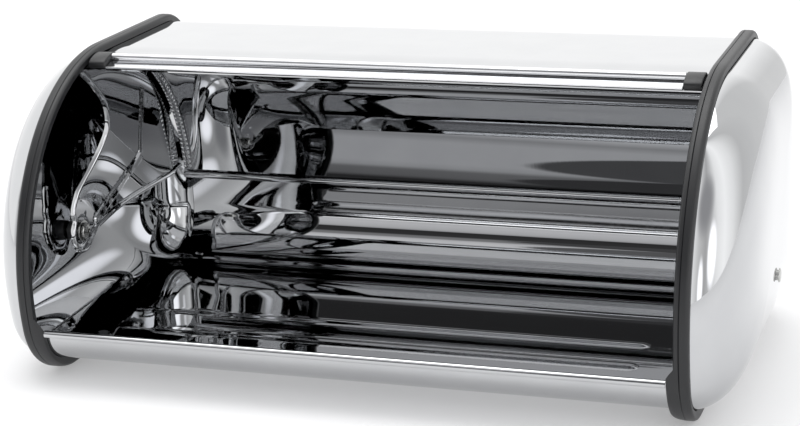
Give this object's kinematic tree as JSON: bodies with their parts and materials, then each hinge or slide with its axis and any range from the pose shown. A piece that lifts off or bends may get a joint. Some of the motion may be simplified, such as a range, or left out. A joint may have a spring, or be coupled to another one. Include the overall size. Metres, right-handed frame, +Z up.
{
  "type": "bread box",
  "caption": "Roll-top bread box of polished sheet steel with domed ends, dark rim trims and a curved lid that swings up and back under the top.",
  "frame": {"origin": "middle of the footprint, on the ground under the rim trims", "axes": "+X along the box, +Y to the back, +Z up; the opening faces -Y"},
  "size_m": [0.445, 0.244, 0.178],
  "materials": {
    "polished_sheet": "mirror-polished stainless sheet",
    "chrome_profile": "bright chrome",
    "rim_trim": "satin moulded",
    "handle_cap": "satin moulded",
    "fasteners": "bright zinc plated",
    "pivot_bush": "matt moulded black nylon"
  },
  "bodies": {
    "casing": {"body_sheet": "polished_sheet", "left_end_cap": "polished_sheet", "right_end_cap": "polished_sheet", "left_rim_trim": "rim_trim", "right_rim_trim": "rim_trim", "left_pivot_barrel": "fasteners", "right_pivot_barrel": "fasteners", "left_pivot_bush": "pivot_bush", "right_pivot_bush": "pivot_bush", "left_pivot_screw": "fasteners", "right_pivot_screw": "fasteners"},
    "lid": {"lid_sheet": "polished_sheet", "lid_front_strip": "chrome_profile", "lid_handle_bar": "chrome_profile", "left_handle_cap": "handle_cap", "right_handle_cap": "handle_cap", "left_lid_arm": "polished_sheet", "right_lid_arm": "polished_sheet", "left_seam_strip": "polished_sheet", "right_seam_strip": "polished_sheet", "left_pivot_washer": "fasteners", "right_pivot_washer": "fasteners"}
  },
  "joints": [
    {"name": "lid_hinge", "type": "hinge", "parent": "casing", "child": "lid", "pos_m": [0, -0.0015, 0.0575], "axis": [1, 0, 0], "range_deg": [0, 85.5]}
  ]
}
